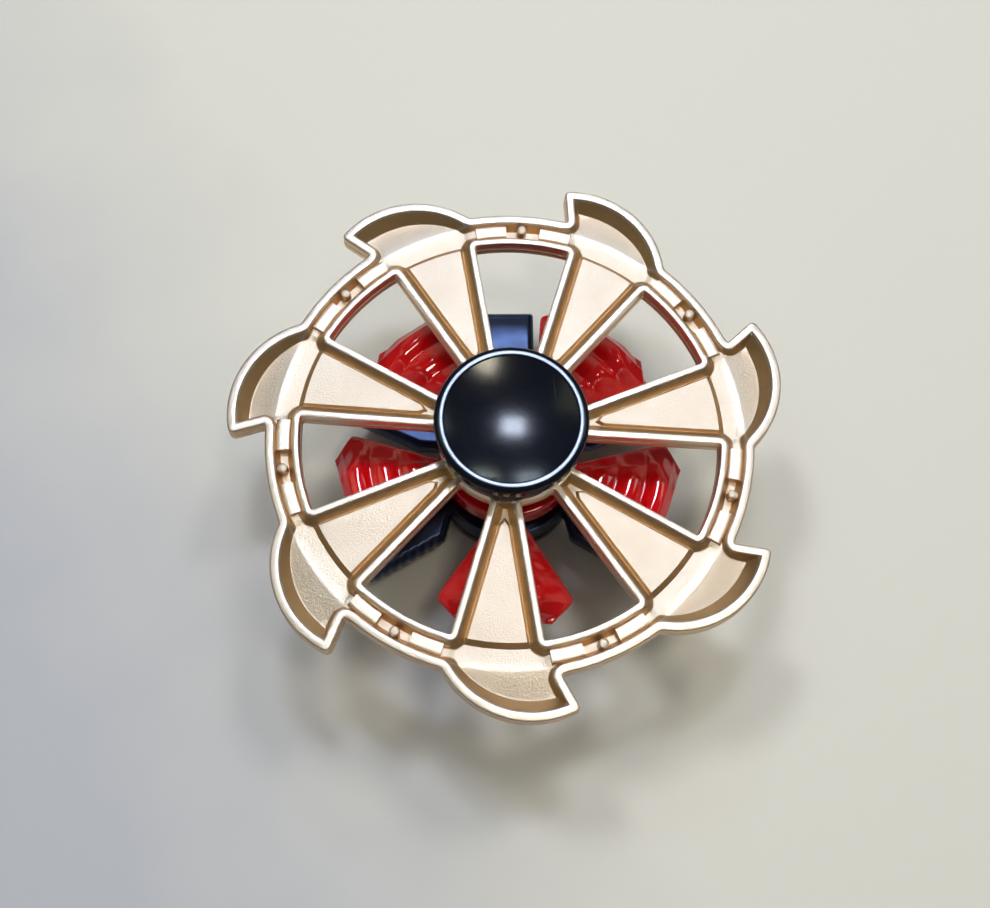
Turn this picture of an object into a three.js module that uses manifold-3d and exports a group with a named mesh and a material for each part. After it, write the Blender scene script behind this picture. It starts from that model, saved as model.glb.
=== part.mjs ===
// A finger spinner with three rotors stacked on one axle: a seven-spoke gold wheel with clawed
// edges on top, a five-blade red rotor below it and a six-arm black rotor at the bottom. Each rotor
// turns on its own small ball bearing, and two dished finger caps clamp the stack together.
//
// Millimetres, +Z up. The origin is the centre of the flat in the lower cap's dish, on the spin axis.
// Heights in the constants below are measured from the surface that the lower cap's lip rests on.
import * as THREE from "three";
import { mergeVertices } from "three/addons/utils/BufferGeometryUtils.js";
import Module from "manifold-3d";

const wasm = await Module();
wasm.setup();

// ---------------------------------------------------------------- driving dimensions
const segments = 32; // sides of the caps, axle and hubs
const bearingSides = 24;

const capRadius = 9.55;
const capThickness = 2.86;
const dishDepth = 1.3;
const dishFlat = 1.5;
const lipInner = 8.35;
const lipOuter = 8.95;
const bossRadius = 4.2;

const bearingOuter = 6.35;
const bearingBore = 3.175;
const bearingHeight = 4.76;
const ballRadius = 0.794;
const ballCircle = 4.7625;
const ballCount = 10;
const seatRadius = 6.42; // bore of each rotor's hub around its bearing

const blackBearingBase = 4.1;
const redBearingBase = 11.4;
const goldBearingBase = 19.0;
const stackHeight = 27.86;

const axleRadius = 3.12;
const threadRadius = 2.0;
const fitGap = 0.04;

const wheel = {
  top: 22.6,
  thickness: 2.5,
  claws: 7,
  tipRadius: 35.2,
  tipAngle: 128.72, // direction of the first claw's tip, in degrees
  notchRadius: 30.85,
  notchLag: 2.41, // how far the notch lies clockwise of its tip
  rootLag: 28.8, // how far the claw's root lies clockwise of its tip
  clawCurve: 12.15, // radius of a claw's curved back
  ringOuter: 30.65,
  ringInner: 26.45,
  windowStart: -4.34, // a window's first edge, from the tip before it
  windowWidth: 26.52,
  hubRadius: 9.05,
  hubBase: 19.3,
  collarRadius: 8.2,
  collarTop: 23.4,
  rim: 0.95, // width of every raised rim
  pocketDepth: 1.4,
};

const red = {
  top: 15.5,
  base: 11.6,
  hubRadius: 9.1,
  blades: 5,
  firstAngle: -91.48,
  bladeBase: 12.2,
  flankTop: 13.6,
  plateauTop: 14.8,
};

const black = {
  top: 7.5,
  base: 3.4,
  hubRadius: 9.6,
  armBase: 4.5,
  armTop: 7.4,
  shoulderTop: 6.8,
  firstAngle: 90.5,
};

// ---------------------------------------------------------------- materials
function metal(color, roughness, metalness) {
  return new THREE.MeshStandardMaterial({ color, roughness, metalness });
}

const champagneGold = metal(0xd8bfa3, 0.38, 0.9);
const candyRed = metal(0xb0101c, 0.18, 0.5);
const gunBlack = metal(0x14161f, 0.22, 0.6);
const capBlack = metal(0x0d0f16, 0.3, 0.5);
const steel = metal(0xb9bcc0, 0.25, 1.0);
const polishedSteel = metal(0xd6d8da, 0.12, 1.0);
const brass = metal(0xb08d4f, 0.35, 1.0);

// ---------------------------------------------------------------- shape helpers
function polar(radius, degrees) {
  const angle = THREE.MathUtils.degToRad(degrees);
  return new THREE.Vector2(radius * Math.cos(angle), radius * Math.sin(angle));
}

// Points on a circle about the axis, from one direction to another.
function sweep(radius, fromDegrees, toDegrees, steps) {
  const points = [];
  for (let i = 0; i <= steps; i++) {
    points.push(polar(radius, THREE.MathUtils.lerp(fromDegrees, toDegrees, i / steps)));
  }
  return points;
}

// An arc of a given radius from one point to another, turning anticlockwise.
function arcBetween(start, end, radius, steps) {
  const half = end.clone().sub(start).multiplyScalar(0.5);
  const inward = new THREE.Vector2(-half.y, half.x).normalize();
  const reach = Math.sqrt(radius * radius - half.lengthSq());
  const centre = start.clone().add(half).addScaledVector(inward, reach);
  const turn = 2 * Math.asin(half.length() / radius);
  const points = [];
  for (let i = 0; i <= steps; i++) {
    points.push(start.clone().rotateAround(centre, (turn * i) / steps));
  }
  return points;
}

// Moves every edge of an anticlockwise loop outwards by a distance, or inwards if it is negative.
function offsetLoop(loop, distance) {
  return loop.map((point, i) => {
    const before = loop[(i + loop.length - 1) % loop.length];
    const after = loop[(i + 1) % loop.length];
    const a = point.clone().sub(before).normalize();
    const b = after.clone().sub(point).normalize();
    const normal = new THREE.Vector2(a.y + b.y, -a.x - b.x).normalize();
    const stretch = distance / Math.max(0.35, normal.x * b.y - normal.y * b.x);
    return point.clone().addScaledVector(normal, stretch);
  });
}

// A closed mesh as a manifold solid, and back.
function toSolid(geometry) {
  const bare = geometry.clone();
  bare.deleteAttribute("normal");
  bare.deleteAttribute("uv");
  const merged = mergeVertices(bare, 1e-5);
  return new wasm.Manifold(new wasm.Mesh({
    numProp: 3,
    vertProperties: new Float32Array(merged.attributes.position.array),
    triVerts: new Uint32Array(merged.index.array),
  }));
}

function toGeometry(solid) {
  const mesh = solid.getMesh();
  const geometry = new THREE.BufferGeometry();
  geometry.setAttribute("position", new THREE.BufferAttribute(mesh.vertProperties, 3));
  geometry.setIndex(new THREE.BufferAttribute(mesh.triVerts, 1));
  geometry.computeVertexNormals();
  return geometry;
}

// A flat outline stood up between two heights.
function slab(loop, low, high) {
  const depth = high - low;
  const geometry = new THREE.ExtrudeGeometry(new THREE.Shape(loop), { depth, bevelEnabled: false });
  return toSolid(geometry.translate(0, 0, low));
}

function disc(radius, low, high, sides = segments) {
  return slab(sweep(radius, 0, 360 - 360 / sides, sides - 1), low, high);
}

function unite(solids) {
  return solids.reduce((whole, solid) => whole.add(solid));
}

// A round piece from its half section, given as [radius, height] pairs that run anticlockwise.
// A section that doesn't touch the axis is closed on itself.
function turned(section, sides = segments) {
  const points = section.map(([radius, height]) => new THREE.Vector2(radius, height));
  if (section[0][0] > 0) {
    points.push(points[0].clone());
  }
  const geometry = new THREE.LatheGeometry(points, sides).rotateX(Math.PI / 2);
  geometry.deleteAttribute("normal");
  geometry.deleteAttribute("uv");
  return mergeVertices(geometry, 1e-5);
}

function mirrored(section, height) {
  return section.map(([r, z]) => [r, height - z]).reverse();
}

const spinner = new THREE.Group();
spinner.position.z = -dishDepth;

function place(name, geometry, material, height = 0) {
  const mesh = new THREE.Mesh(geometry, material);
  mesh.name = name;
  mesh.position.z = height;
  spinner.add(mesh);
}

// ---------------------------------------------------------------- finger caps and axle
function capSection() {
  const underside = stackHeight - capThickness;
  const holeTop = underside + 0.9;
  const dishFloor = stackHeight - dishDepth;
  const section = [
    [0, holeTop],
    [threadRadius + 0.06, holeTop],
    [threadRadius + 0.06, goldBearingBase + bearingHeight + fitGap],
    [bossRadius, goldBearingBase + bearingHeight + fitGap],
    [bossRadius, underside],
    [capRadius - 0.85, underside],
    [capRadius, underside + 0.8],
    [capRadius, stackHeight - 0.95],
    [capRadius - 0.3, stackHeight - 0.25],
    [lipOuter, stackHeight],
    [lipInner, stackHeight],
  ];
  // The dish is a shallow bowl that ends on a small flat.
  const rings = 5;
  for (let i = 1; i <= rings; i++) {
    const r = THREE.MathUtils.lerp(lipInner, dishFlat, i / rings);
    const across = (r - dishFlat) / (lipInner - dishFlat);
    section.push([r, dishFloor + (dishDepth - 0.12) * across * across]);
  }
  section.push([0, dishFloor]);
  return section;
}

function axleSection() {
  const shoulderLow = blackBearingBase - 0.02;
  const shoulderHigh = goldBearingBase + bearingHeight + 0.02;
  const threadEnd = stackHeight - capThickness + 0.8;
  return [
    [0, stackHeight - threadEnd],
    [threadRadius, stackHeight - threadEnd],
    [threadRadius, shoulderLow],
    [axleRadius, shoulderLow],
    [axleRadius, shoulderHigh],
    [threadRadius, shoulderHigh],
    [threadRadius, threadEnd],
    [0, threadEnd],
  ];
}

function spacerSection(low, high) {
  const bore = axleRadius + 0.08;
  return [[bore, low + fitGap], [bossRadius, low + fitGap], [bossRadius, high - fitGap], [bore, high - fitGap]];
}

place("top_finger_cap", turned(capSection()), capBlack);
place("bottom_finger_cap", turned(mirrored(capSection(), stackHeight)), capBlack);
place("axle_stud", turned(axleSection()), steel);
place("lower_spacer", turned(spacerSection(blackBearingBase + bearingHeight, redBearingBase)), steel);
place("upper_spacer", turned(spacerSection(redBearingBase + bearingHeight, goldBearingBase)), steel);

// ---------------------------------------------------------------- ball bearings
// Sections are drawn about the bearing's middle plane.
function innerRingSection() {
  const half = bearingHeight / 2;
  return [
    [bearingBore, -half],
    [4.3, -half],
    [4.3, -0.72],
    [4.03, -0.42],
    [3.93, 0],
    [4.03, 0.42],
    [4.3, 0.72],
    [4.3, half],
    [bearingBore, half],
  ];
}

function outerRingSection() {
  const half = bearingHeight / 2;
  return [
    [bearingOuter, -half],
    [bearingOuter, half],
    [5.85, half],
    [5.85, 1.8],
    [5.2, 1.8],
    [5.2, 0.76],
    [5.5, 0.44],
    [5.62, 0],
    [5.5, -0.44],
    [5.2, -0.76],
    [5.2, -1.8],
    [5.85, -1.8],
    [5.85, -half],
  ];
}

const shieldSection = [[4.42, 1.86], [5.8, 1.86], [5.8, 2.06], [4.42, 2.06]];
const cageInner = 4.48;
const cageOuter = 5.05;
const cageHalf = 1.15;

// A plain ring with one round pocket for each ball.
function cage() {
  const blank = toSolid(turned([
    [cageInner, -cageHalf],
    [cageOuter, -cageHalf],
    [cageOuter, cageHalf],
    [cageInner, cageHalf],
  ], bearingSides));
  const pockets = [];
  for (let i = 0; i < ballCount; i++) {
    const drill = new THREE.CylinderGeometry(0.87, 0.87, 2.4, 10).rotateZ(Math.PI / 2);
    drill.translate(ballCircle, 0, 0).rotateZ((2 * Math.PI * i) / ballCount);
    pockets.push(toSolid(drill));
  }
  return toGeometry(blank.subtract(unite(pockets)));
}

function ball(index) {
  const at = polar(ballCircle, (360 * index) / ballCount);
  return new THREE.IcosahedronGeometry(ballRadius, 1).translate(at.x, at.y, 0);
}

function bearing(prefix, base) {
  const middle = base + bearingHeight / 2;
  place(`${prefix}_inner_ring`, turned(innerRingSection(), bearingSides), polishedSteel, middle);
  place(`${prefix}_outer_ring`, turned(outerRingSection(), bearingSides), polishedSteel, middle);
  place(`${prefix}_upper_shield`, turned(shieldSection, bearingSides), steel, middle);
  place(`${prefix}_lower_shield`, turned(mirrored(shieldSection, 0), bearingSides), steel, middle);
  place(`${prefix}_ball_cage`, cage(), brass, middle);
  for (let i = 0; i < ballCount; i++) {
    place(`${prefix}_ball_${i + 1}`, ball(i), polishedSteel, middle);
  }
}

bearing("gold", goldBearingBase);
bearing("red", redBearingBase);
bearing("black", blackBearingBase);

// ---------------------------------------------------------------- gold wheel
const wheelPitch = 360 / wheel.claws;

// One claw after another: a curved back up to the tip, a short step in, then a stretch of ring.
function wheelOutline() {
  const loop = [];
  for (let k = 0; k < wheel.claws; k++) {
    const tipAngle = wheel.tipAngle + k * wheelPitch;
    const notchAngle = tipAngle - wheel.notchLag;
    const root = polar(wheel.ringOuter, tipAngle - wheel.rootLag);
    const back = arcBetween(root, polar(wheel.tipRadius, tipAngle), wheel.clawCurve, 8);
    const ring = sweep(wheel.ringOuter, notchAngle + 1, tipAngle + wheelPitch - wheel.rootLag, 5);
    loop.push(...back, polar(wheel.notchRadius, notchAngle), ...ring.slice(0, -1));
  }
  return loop;
}

// The open gap between two spokes, grown outwards by a margin.
function windowOutline(index, margin) {
  const start = wheel.tipAngle + wheel.windowStart + index * wheelPitch;
  const end = start + wheel.windowWidth;
  const leanAt = (radius) => THREE.MathUtils.radToDeg(Math.asin(margin / radius));
  const near = wheel.hubRadius - margin;
  const far = wheel.ringInner + margin;
  return [
    ...sweep(far, start - leanAt(far), end + leanAt(far), 6),
    ...sweep(near, end + leanAt(near), start - leanAt(near), 3),
  ];
}

function windowSolids(margin, low, high) {
  const solids = [];
  for (let k = 0; k < wheel.claws; k++) {
    solids.push(slab(windowOutline(k, margin), low, high));
  }
  return unite(solids);
}

// The floor of one spoke's tray: a raised wedge that stops at a step before the ring.
function trayWedge(index) {
  const middle = wheel.tipAngle + wheel.windowStart - (wheelPitch - wheel.windowWidth) / 2 + index * wheelPitch;
  const half = (wheelPitch - wheel.windowWidth) / 2;
  const edge = wheel.rim + 0.9;
  const leanAt = (radius) => half - THREE.MathUtils.radToDeg(Math.asin(edge / radius));
  return [
    polar(11, middle - leanAt(11)),
    ...sweep(wheel.ringInner, middle - leanAt(wheel.ringInner), middle + leanAt(wheel.ringInner), 4),
    polar(11, middle + leanAt(11)),
  ];
}

// A stretch of the ring's channel between two radii.
function channelPiece(innerRadius, outerRadius, from, to, low, high) {
  const loop = [...sweep(outerRadius, from, to, 3), ...sweep(innerRadius, to, from, 3)];
  return slab(loop, low, high);
}

function goldWheel() {
  const { top, thickness, rim, pocketDepth, ringInner, ringOuter } = wheel;
  const base = top - thickness;
  const floor = top - pocketDepth;
  const outline = wheelOutline();

  let pocket = slab(offsetLoop(outline, -rim), floor, top + 1);
  pocket = pocket.subtract(disc(wheel.hubRadius + 0.3, floor - 1, top + 2));
  pocket = pocket.subtract(windowSolids(rim, floor - 1, top + 2));
  let body = slab(outline, base, top).subtract(pocket);

  const details = [];
  for (let k = 0; k < wheel.claws; k++) {
    const windowFrom = wheel.tipAngle + wheel.windowStart + k * wheelPitch;
    const windowTo = windowFrom + wheel.windowWidth;
    const middle = (windowFrom + windowTo) / 2;
    const inner = ringInner + rim;
    const outer = ringOuter - rim;
    details.push(slab(trayWedge(k), floor - 0.2, top - 0.6));
    details.push(channelPiece(inner - 0.1, outer + 0.1, windowFrom, middle - 4, floor - 0.2, top - 0.95));
    details.push(channelPiece(inner - 0.1, outer + 0.1, middle + 4, windowTo, floor - 0.2, top - 0.95));
    details.push(channelPiece(inner + 0.3, outer - 0.3, windowFrom, middle - 4, floor, top - 0.4));
    details.push(channelPiece(inner + 0.3, outer - 0.3, middle + 4, windowTo, floor, top - 0.4));
    const post = polar((inner + outer) / 2 + 0.1, middle);
    details.push(disc(0.58, floor - 0.2, top - 0.15, 10).translate([post.x, post.y, 0]));
  }
  body = body.add(unite(details));

  const hub = disc(wheel.hubRadius, wheel.hubBase, top).add(disc(wheel.collarRadius, base, wheel.collarTop));
  body = body.add(hub);
  body = body.subtract(windowSolids(0, base - 1, top + 1));
  return toGeometry(body.subtract(disc(seatRadius, wheel.hubBase - 1, wheel.collarTop + 1)));
}

place("gold_wheel", goldWheel(), champagneGold);

// ---------------------------------------------------------------- red rotor
// One blade's outline, along and across its own axis, drawn in by a margin.
function bladeOutline(margin) {
  const loop = [[8, -1.2], [19.2, -9.05], [22.3, -6.1], [22.3, 6.1], [19.2, 9.05], [8, 1.2]];
  return offsetLoop(loop.map(([x, y]) => new THREE.Vector2(x, y)), -margin);
}

function redRotor() {
  const blades = [];
  for (let k = 0; k < red.blades; k++) {
    const parts = [
      slab(bladeOutline(0), red.bladeBase, red.flankTop),
      slab(bladeOutline(1.2), red.bladeBase, red.plateauTop - 0.5),
      slab(bladeOutline(2.2), red.bladeBase, red.plateauTop),
    ];
    // Cross ridges, longer towards the blade's wide end.
    for (const along of [12.6, 16.4, 20.2]) {
      const half = (along - 8) * 0.42;
      const ridge = new THREE.BoxGeometry(1.5, 2 * half, 1).translate(along, 0, red.top - 0.6);
      parts.push(toSolid(ridge));
    }
    blades.push(unite(parts).rotate([0, 0, red.firstAngle + (k * 360) / red.blades]));
  }
  const hub = disc(red.hubRadius - 0.25, red.base, red.top).add(disc(red.hubRadius, red.base + 0.25, red.top - 0.25));
  const rotor = unite([hub, ...blades]);
  return toGeometry(rotor.subtract(disc(seatRadius, red.base - 1, red.top + 1)));
}

place("red_rotor", redRotor(), candyRed);

// ---------------------------------------------------------------- black rotor
// An arm is a narrow neck, sloping shoulders and a block-shaped head.
function armOutline(rootHalf, shoulderHalf, endHalf, margin) {
  const loop = [
    [7, -rootHalf], [9.9, -rootHalf], [12.4, -shoulderHalf], [23.2, -endHalf], [23.8, -endHalf + 0.6],
    [23.8, endHalf - 0.6], [23.2, endHalf], [12.4, shoulderHalf], [9.9, rootHalf], [7, rootHalf],
  ];
  return offsetLoop(loop.map(([x, y]) => new THREE.Vector2(x, y)), -margin);
}

function blackRotor() {
  const parts = [disc(black.hubRadius - 0.25, black.base, black.top)];
  parts.push(disc(black.hubRadius, black.base + 0.25, black.top - 0.25));
  for (let k = 0; k < 6; k++) {
    const wide = k % 2 === 0;
    const [rootHalf, shoulderHalf, endHalf] = wide ? [1.6, 4.1, 4.1] : [1.9, 3.1, 4.25];
    const arm = slab(armOutline(rootHalf, shoulderHalf, endHalf, 0), black.armBase, black.shoulderTop)
      .add(slab(armOutline(rootHalf, shoulderHalf, endHalf, 0.6), black.armBase, black.armTop));
    parts.push(arm.rotate([0, 0, black.firstAngle + 60 * k]));
  }
  return toGeometry(unite(parts).subtract(disc(seatRadius, black.base - 1, black.top + 1)));
}

place("black_rotor", blackRotor(), gunBlack);

export default spinner;
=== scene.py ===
import math

import bmesh
import bpy
import numpy as np
from mathutils import Matrix, Vector
from mathutils.geometry import delaunay_2d_cdt


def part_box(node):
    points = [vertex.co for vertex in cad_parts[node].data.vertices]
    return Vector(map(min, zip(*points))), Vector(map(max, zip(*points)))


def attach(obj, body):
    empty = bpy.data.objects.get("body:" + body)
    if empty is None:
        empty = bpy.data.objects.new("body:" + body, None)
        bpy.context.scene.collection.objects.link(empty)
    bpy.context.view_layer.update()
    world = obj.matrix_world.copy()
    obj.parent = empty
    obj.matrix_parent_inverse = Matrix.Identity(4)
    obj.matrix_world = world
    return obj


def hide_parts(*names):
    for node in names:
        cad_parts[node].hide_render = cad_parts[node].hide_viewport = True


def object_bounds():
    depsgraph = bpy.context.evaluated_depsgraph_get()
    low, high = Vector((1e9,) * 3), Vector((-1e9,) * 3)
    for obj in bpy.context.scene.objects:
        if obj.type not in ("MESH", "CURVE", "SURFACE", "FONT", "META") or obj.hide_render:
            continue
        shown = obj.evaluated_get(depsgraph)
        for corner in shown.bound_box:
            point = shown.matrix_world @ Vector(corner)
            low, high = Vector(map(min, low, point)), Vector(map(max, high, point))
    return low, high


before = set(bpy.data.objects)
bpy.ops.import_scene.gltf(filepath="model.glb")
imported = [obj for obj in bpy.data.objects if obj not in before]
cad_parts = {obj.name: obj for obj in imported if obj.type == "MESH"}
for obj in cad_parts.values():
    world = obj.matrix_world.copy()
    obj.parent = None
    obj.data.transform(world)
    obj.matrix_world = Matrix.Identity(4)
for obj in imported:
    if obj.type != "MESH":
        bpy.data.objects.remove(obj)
cad_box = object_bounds()

# Shapes are worked out in millimetres, from the origin of the frame that the CAD nodes share.
MM = 0.001
SIDES = 128  # of a round shape
BATCH = 4000  # points measured at a time, which limits the memory used

# ------------------------------------------------------------------ driving dimensions
CLAWS = 7
CLAW_PITCH = 360 / CLAWS
TIP_ANGLE = 128.72  # direction of the first claw's tip
TIP_RADIUS = 35.22
NOTCH_RADIUS = 30.85
NOTCH_LAG = 2.41  # degrees clockwise of the tip
ROOT_LAG = 28.8
WINDOW_LAG = 4.34
CLAW_CURVE = 12.15  # radius of a claw's back
RING_OUTER = 30.65
RING_INNER = 26.45
HALF_WINDOW = 13.26  # degrees
HALF_SPOKE = CLAW_PITCH / 2 - HALF_WINDOW
SPOKE_ANGLE = TIP_ANGLE - WINDOW_LAG - HALF_SPOKE  # direction of the first spoke's middle
WHEEL_HUB = 9.15
COLLAR = 8.2
SEAT = 6.42  # bore of each rotor's hub
RIM = 0.92
SHOULDER = 0.2  # how far the outer edge rounds out past the rim's outline
COLLAR_RISE = 0.8  # height of the wheel's collar above its rims
CLAW_CUTS = (0.65, 0.42, 0.3)  # how far a claw's tip, notch and root are rounded
WINDOW_CUTS = (0.18, 0.32, 0.32, 0.18)
CORNER_STEPS = 6

WHEEL_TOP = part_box("gold_wheel")[1].z / MM - COLLAR_RISE
RED_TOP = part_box("red_rotor")[1].z / MM
BLACK_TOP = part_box("black_rotor")[1].z / MM


# ------------------------------------------------------------------ plane geometry
def polar(radius, degrees):
    angle = np.radians(degrees)
    return np.stack(np.broadcast_arrays(radius * np.cos(angle), radius * np.sin(angle)), -1)


def arc(radius, start, end, steps):
    return polar(radius, np.linspace(start, end, steps + 1))


def arc_between(start, end, radius, steps):
    """An arc of a given radius from one point to another, turning anticlockwise."""
    half = (end - start) / 2
    size = np.hypot(*half)
    inward = np.array([-half[1], half[0]]) / size
    centre = start + half + inward * math.sqrt(radius * radius - size * size)
    first = math.atan2(*(start - centre)[::-1])
    turn = 2 * math.asin(size / radius)
    angles = first + turn * np.linspace(0, 1, steps + 1)
    return centre + radius * np.stack([np.cos(angles), np.sin(angles)], -1)


def segment(start, end, steps):
    return np.linspace(start, end, steps + 1)


def trimmed(run, first, last):
    """A run of points with a length cut off each end."""
    along = np.concatenate([[0], np.cumsum(np.linalg.norm(np.diff(run, axis=0), axis=1))])
    stop = along[-1] - last
    inner = run[(along > first + 1e-6) & (along < stop - 1e-6)]
    ends = [[np.interp(s, along, run[:, 0]), np.interp(s, along, run[:, 1])] for s in (first, stop)]
    return np.vstack([ends[:1], inner, ends[1:]])


def rounded_loop(runs, cuts):
    """Joins runs end to start into a closed loop. cuts says how far the corner after each run is rounded."""
    parts = [trimmed(run, cuts[i - 1], cuts[i]) for i, run in enumerate(runs)]
    loop = []
    for i, part in enumerate(parts):
        loop.extend(part)
        after = parts[(i + 1) % len(parts)][0]
        for t in np.arange(1, CORNER_STEPS) / CORNER_STEPS:
            loop.append((1 - t) ** 2 * part[-1] + 2 * t * (1 - t) * runs[i][-1] + t * t * after)
    return np.array(loop)


def offset(loop, distance):
    """Moves an anticlockwise loop outwards, or inwards if the distance is negative."""
    a = loop - np.roll(loop, 1, 0)
    b = np.roll(loop, -1, 0) - loop
    a = a / np.linalg.norm(a, axis=1, keepdims=True)
    b = b / np.linalg.norm(b, axis=1, keepdims=True)
    normal = np.stack([a[:, 1] + b[:, 1], -a[:, 0] - b[:, 0]], -1)
    normal = normal / np.linalg.norm(normal, axis=1, keepdims=True)
    square = np.maximum(normal[:, 0] * b[:, 1] - normal[:, 1] * b[:, 0], 0.4)
    return loop + normal * (distance / square)[:, None]


def signed_area(loop):
    """The area of a loop, negative if it runs clockwise."""
    after = np.roll(loop, -1, 0)
    return (loop[:, 0] * after[:, 1] - loop[:, 1] * after[:, 0]).sum() / 2


def turned_by(points, degrees):
    c, s = math.cos(math.radians(degrees)), math.sin(math.radians(degrees))
    return points @ np.array([[c, s], [-s, c]])


def depth_inside(points, loop):
    """How far inside a closed loop each point lies. It is negative outside."""
    ab = np.roll(loop, -1, 0) - loop
    rise = np.where(ab[:, 1] == 0, 1e-12, ab[:, 1])
    length = (ab ** 2).sum(1)
    result = np.empty(len(points))
    for low in range(0, len(points), BATCH):
        p = points[low:low + BATCH]
        ap = p[:, None] - loop[None]
        t = np.clip((ap * ab).sum(2) / length, 0, 1)
        distance = np.sqrt(((ap - t[..., None] * ab) ** 2).sum(2)).min(1)
        level = (ap[:, :, 1] < 0) != (ap[:, :, 1] < ab[:, 1])
        left = ap[:, :, 0] < ab[:, 0] * ap[:, :, 1] / rise
        inside = (level & left).sum(1) % 2 == 1
        result[low:low + BATCH] = np.where(inside, distance, -distance)
    return result


def distance_to(points, runs):
    """Distance to the nearest of some open runs of points."""
    a = np.concatenate([run[:-1] for run in runs])
    ab = np.concatenate([np.diff(run, axis=0) for run in runs])
    length = (ab ** 2).sum(1)
    result = np.empty(len(points))
    for low in range(0, len(points), BATCH):
        ap = points[low:low + BATCH, None] - a[None]
        t = np.clip((ap * ab).sum(2) / length, 0, 1)
        result[low:low + BATCH] = np.sqrt(((ap - t[..., None] * ab) ** 2).sum(2)).min(1)
    return result


def runs_where(curve, keep):
    """The stretches of a curve whose points are all kept."""
    runs, run = [], []
    for point, kept in zip(curve, keep):
        if kept:
            run.append(point)
        else:
            if len(run) > 1:
                runs.append(np.array(run))
            run = []
    if len(run) > 1:
        runs.append(np.array(run))
    return runs


def blend(a, b, t):
    t = np.clip(t, 0, 1)
    return a + (b - a) * t


# ------------------------------------------------------------------ meshes
def circle(radius, sides):
    return polar(radius, np.arange(sides) * 360 / sides)


def triangulated(loops, curves, keep):
    """Triangles over the plane, with an edge along every loop and curve, where keep() says so."""
    verts, edges = [], []
    for points, closed in [(p, True) for p in loops] + [(p, False) for p in curves]:
        base = len(verts)
        verts.extend(Vector(p) for p in points)
        edges.extend((base + i, base + i + 1) for i in range(len(points) - 1))
        if closed:
            edges.append((base + len(points) - 1, base))
    found, _, faces, *_ = delaunay_2d_cdt(verts, edges, [], 0, 1e-5)
    points = np.array([v[:] for v in found])
    faces = np.array(faces)
    return points, faces[keep(points[faces].mean(1))]


class Shell:
    """Collects the rings, strips and patches of a closed mesh, in millimetres."""

    def __init__(self):
        self.points = []
        self.faces = []
        self.count = 0

    def add(self, points, faces):
        self.points.append(points)
        self.faces.extend((np.asarray(faces) + self.count).tolist())
        self.count += len(points)

    def patch(self, flat, faces, heights):
        self.add(np.column_stack([flat, heights]), faces)

    def strip(self, rings):
        """Quads between rings that all have the same number of points."""
        n = len(rings[0])
        i = np.arange(n)
        quad = np.stack([i, (i + 1) % n, (i + 1) % n + n, i + n], -1)
        faces = np.concatenate([quad + n * k for k in range(len(rings) - 1)])
        self.add(np.concatenate(rings), faces)

    def mesh(self, name, weld=1e-3):
        mesh = bpy.data.meshes.new(name)
        bm = bmesh.new()
        verts = [bm.verts.new(p) for p in np.concatenate(self.points) * MM]
        for face in self.faces:
            try:
                bm.faces.new([verts[i] for i in face])
            except ValueError:
                continue
        bmesh.ops.remove_doubles(bm, verts=bm.verts, dist=weld * MM)
        bmesh.ops.dissolve_degenerate(bm, edges=bm.edges, dist=1e-5 * MM)
        bmesh.ops.recalc_face_normals(bm, faces=bm.faces)
        bm.to_mesh(mesh)
        bm.free()
        mesh.shade_smooth()
        mesh.set_sharp_from_angle(angle=math.radians(38))
        return mesh


def ring3(loop, z):
    return np.column_stack([loop, np.full(len(loop), z)])


def relief_shell(shell, outline, holes, curves, height, wall, hole_wall=(), hub=None):
    """A plate whose top follows height(), with walls down the outline and round every hole.

    wall and hole_wall list (inset, height) pairs from the top edge down, and hub the same as
    (radius, height) pairs down a round middle hole.
    """
    def loops_at(level):
        loops = [offset(outline, -wall[level][0])] + [offset(h, hole_wall[level][0]) for h in holes]
        return loops + ([circle(hub[level][0], SIDES)] if hub else [])

    def inside(loops, points):
        kept = depth_inside(points, loops[0]) > 0
        for loop in loops[1:]:
            kept &= depth_inside(points, loop) < 0
        return kept

    top = loops_at(0)
    points, faces = triangulated(top, curves, lambda p: inside(top, p))
    shell.patch(points, faces, height(points))
    bottom = loops_at(-1)
    points, faces = triangulated(bottom, [], lambda p: inside(bottom, p))
    shell.patch(points, faces, np.full(len(points), wall[-1][1]))

    for loop, side, steps in [(outline, -1, wall)] + [(h, 1, hole_wall) for h in holes]:
        rings = [ring3(offset(loop, side * inset), z) for inset, z in steps]
        rings[0][:, 2] = height(rings[0][:, :2])
        shell.strip(rings)
    if hub:
        rings = [ring3(circle(radius, SIDES), z) for radius, z in hub]
        rings[0][:, 2] = height(rings[0][:, :2])
        shell.strip(rings)


def turned_shell(shell, section, sides=SIDES):
    """A round shell from its half section, (radius, height) pairs. A radius of 0 ends on the axis."""
    rings = [ring3(circle(r, sides), z) for r, z in section if r > 0]
    if section[0][0] > 0:
        rings.append(rings[0])
    shell.strip(rings)
    for (r, z), ring in ((section[0], rings[0]), (section[-1], rings[-1])):
        if r == 0:
            fan = [[i, (i + 1) % sides, sides] for i in range(sides)]
            shell.add(np.vstack([ring, [[0, 0, z]]]), fan)


def fillet(before, corner, after, radius, steps=4):
    """Points that round off a corner of a section."""
    before, corner, after = (np.array(p, float) for p in (before, corner, after))
    a = (before - corner) / np.linalg.norm(before - corner)
    b = (after - corner) / np.linalg.norm(after - corner)
    start, end = corner + a * radius, corner + b * radius
    t = np.linspace(0, 1, steps + 1)[:, None]
    return ((1 - t) ** 2 * start + 2 * t * (1 - t) * corner + t * t * end).tolist()


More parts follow.
